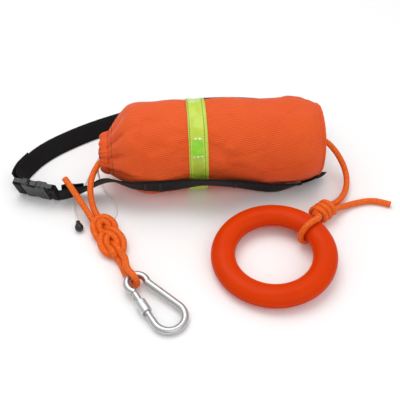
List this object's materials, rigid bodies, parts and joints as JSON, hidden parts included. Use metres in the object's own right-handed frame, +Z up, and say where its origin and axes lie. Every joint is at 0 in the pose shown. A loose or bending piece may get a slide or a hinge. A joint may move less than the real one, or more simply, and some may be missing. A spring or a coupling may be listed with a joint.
{
  "type": "throw rope bag",
  "caption": "Water rescue throw bag of orange cloth stuffed with floating rope, with a drawstring mouth, reflective band, waist belt, locking snap hook and a float ring to throw.",
  "frame": {"origin": "centre of the flat on which the filled bag rests, on the ground plane", "axes": "+X along the bag from its drawstring mouth to its closed base, +Z up, +Y away from the float ring"},
  "size_m": [0.475, 0.3943, 0.1098],
  "materials": {
    "orange_cloth": "coated woven polyester with a fine diagonal weave",
    "hem_cloth": "the same cloth, doubled and gathered",
    "reflective_tape": "lime retroreflective tape with welded cells",
    "black_webbing": "ribbed woven belt webbing",
    "black_cord": "braided or bound black cord and binding",
    "orange_rope": "smooth braided floating rope",
    "white_drawcord": "thin braided cord",
    "foam": "closed-cell foam",
    "black_plastic": "moulded plastic, fine speckle",
    "orange_float": "blow-moulded, glossy, with a parting line",
    "zinc_steel": "bright zinc plated forged steel",
    "satin_steel": "zinc plated, knurled",
    "spring_steel": "drawn spring wire",
    "brass_grommet": "pressed eyelet"
  },
  "bodies": {
    "bag_and_rope": {"bag_body": "orange_cloth", "base_binding": "hem_cloth", "base_foam_disc": "foam", "base_grommet": "brass_grommet", "base_panel": "orange_cloth", "base_rope": "orange_rope", "base_stopper_knot": "orange_rope", "belt_bar_tacks": "black_cord", "belt_front_strap": "black_webbing", "belt_ladder_loop": "black_webbing", "belt_left_strand": "black_webbing", "belt_male_loop": "black_webbing", "belt_rear_strand": "black_webbing", "belt_tail": "black_webbing", "buckle_female": "black_plastic", "buckle_male": "black_plastic", "carabiner_bight": "orange_rope", "cord_end_left": "black_plastic", "cord_end_right": "black_plastic", "cord_lock_body": "black_plastic", "cord_lock_spring": "spring_steel", "drawcord_in_hem": "white_drawcord", "drawcord_left": "white_drawcord", "drawcord_right": "white_drawcord", "figure_eight_knot": "orange_rope", "grommet_washer": "brass_grommet", "mouth_hem": "hem_cloth", "mouth_rope": "orange_rope", "mouth_rope_tail": "orange_rope", "reflective_band": "reflective_tape", "ring_knot": "orange_rope", "ring_loop": "orange_rope", "ring_rope_tail": "orange_rope", "stuffed_rope": "orange_rope"},
    "carabiner": {"carabiner_body": "zinc_steel", "gate_hinge_pin": "satin_steel"},
    "gate": {"carabiner_gate": "zinc_steel", "gate_plunger": "satin_steel", "gate_spring": "spring_steel"},
    "sleeve": {"screw_sleeve": "satin_steel"},
    "ring": {"float_ring": "orange_float"},
    "prong_upper": {"buckle_prong_upper": "black_plastic"},
    "prong_lower": {"buckle_prong_lower": "black_plastic"},
    "lock_button": {"cord_lock_plunger": "black_plastic"}
  },
  "joints": [
    {"name": "ring_spin", "type": "hinge", "parent": "bag_and_rope", "child": "ring", "pos_m": [0.0616, -0.1552, 0.01555], "axis": [-0.0588, -0.0427, 0.9974], "continuous": true},
    {"name": "carabiner_swing", "type": "hinge", "parent": "bag_and_rope", "child": "carabiner", "pos_m": [-0.09372, -0.18344, 0.0113], "axis": [0.0606, -0.0771, 0.9952], "range_deg": [-20, 20]},
    {"name": "gate_hinge", "type": "hinge", "parent": "carabiner", "child": "gate", "pos_m": [-0.09463, -0.19975, 0.01009], "axis": [0.0606, -0.0771, 0.9952], "range_deg": [0, 28], "stiffness_Nm_per_rad": 0.08, "springref_deg": -20.05},
    {"name": "sleeve_travel", "type": "slide", "parent": "gate", "child": "sleeve", "axis": [-0.4802, 0.8718, 0.0968], "range_m": [-0.006, 0.0015]},
    {"name": "upper_prong_flex", "type": "hinge", "parent": "bag_and_rope", "child": "prong_upper", "pos_m": [-0.20816, -0.03628, 0.02523], "axis": [-0.3059, -0.8885, -0.342], "range_deg": [0, 6.5], "stiffness_Nm_per_rad": 0.3},
    {"name": "lower_prong_flex", "type": "hinge", "parent": "bag_and_rope", "child": "prong_lower", "pos_m": [-0.20605, -0.03013, 0.00738], "axis": [0.3059, 0.8885, 0.342], "range_deg": [0, 6.5], "stiffness_Nm_per_rad": 0.3},
    {"name": "lock_button_press", "type": "slide", "parent": "bag_and_rope", "child": "lock_button", "axis": [0, -1, 0], "range_m": [0, 0.0026], "stiffness_N_per_m": 500, "springref_m": -0.001, "deforming": ["cord_lock_spring"]}
  ]
}
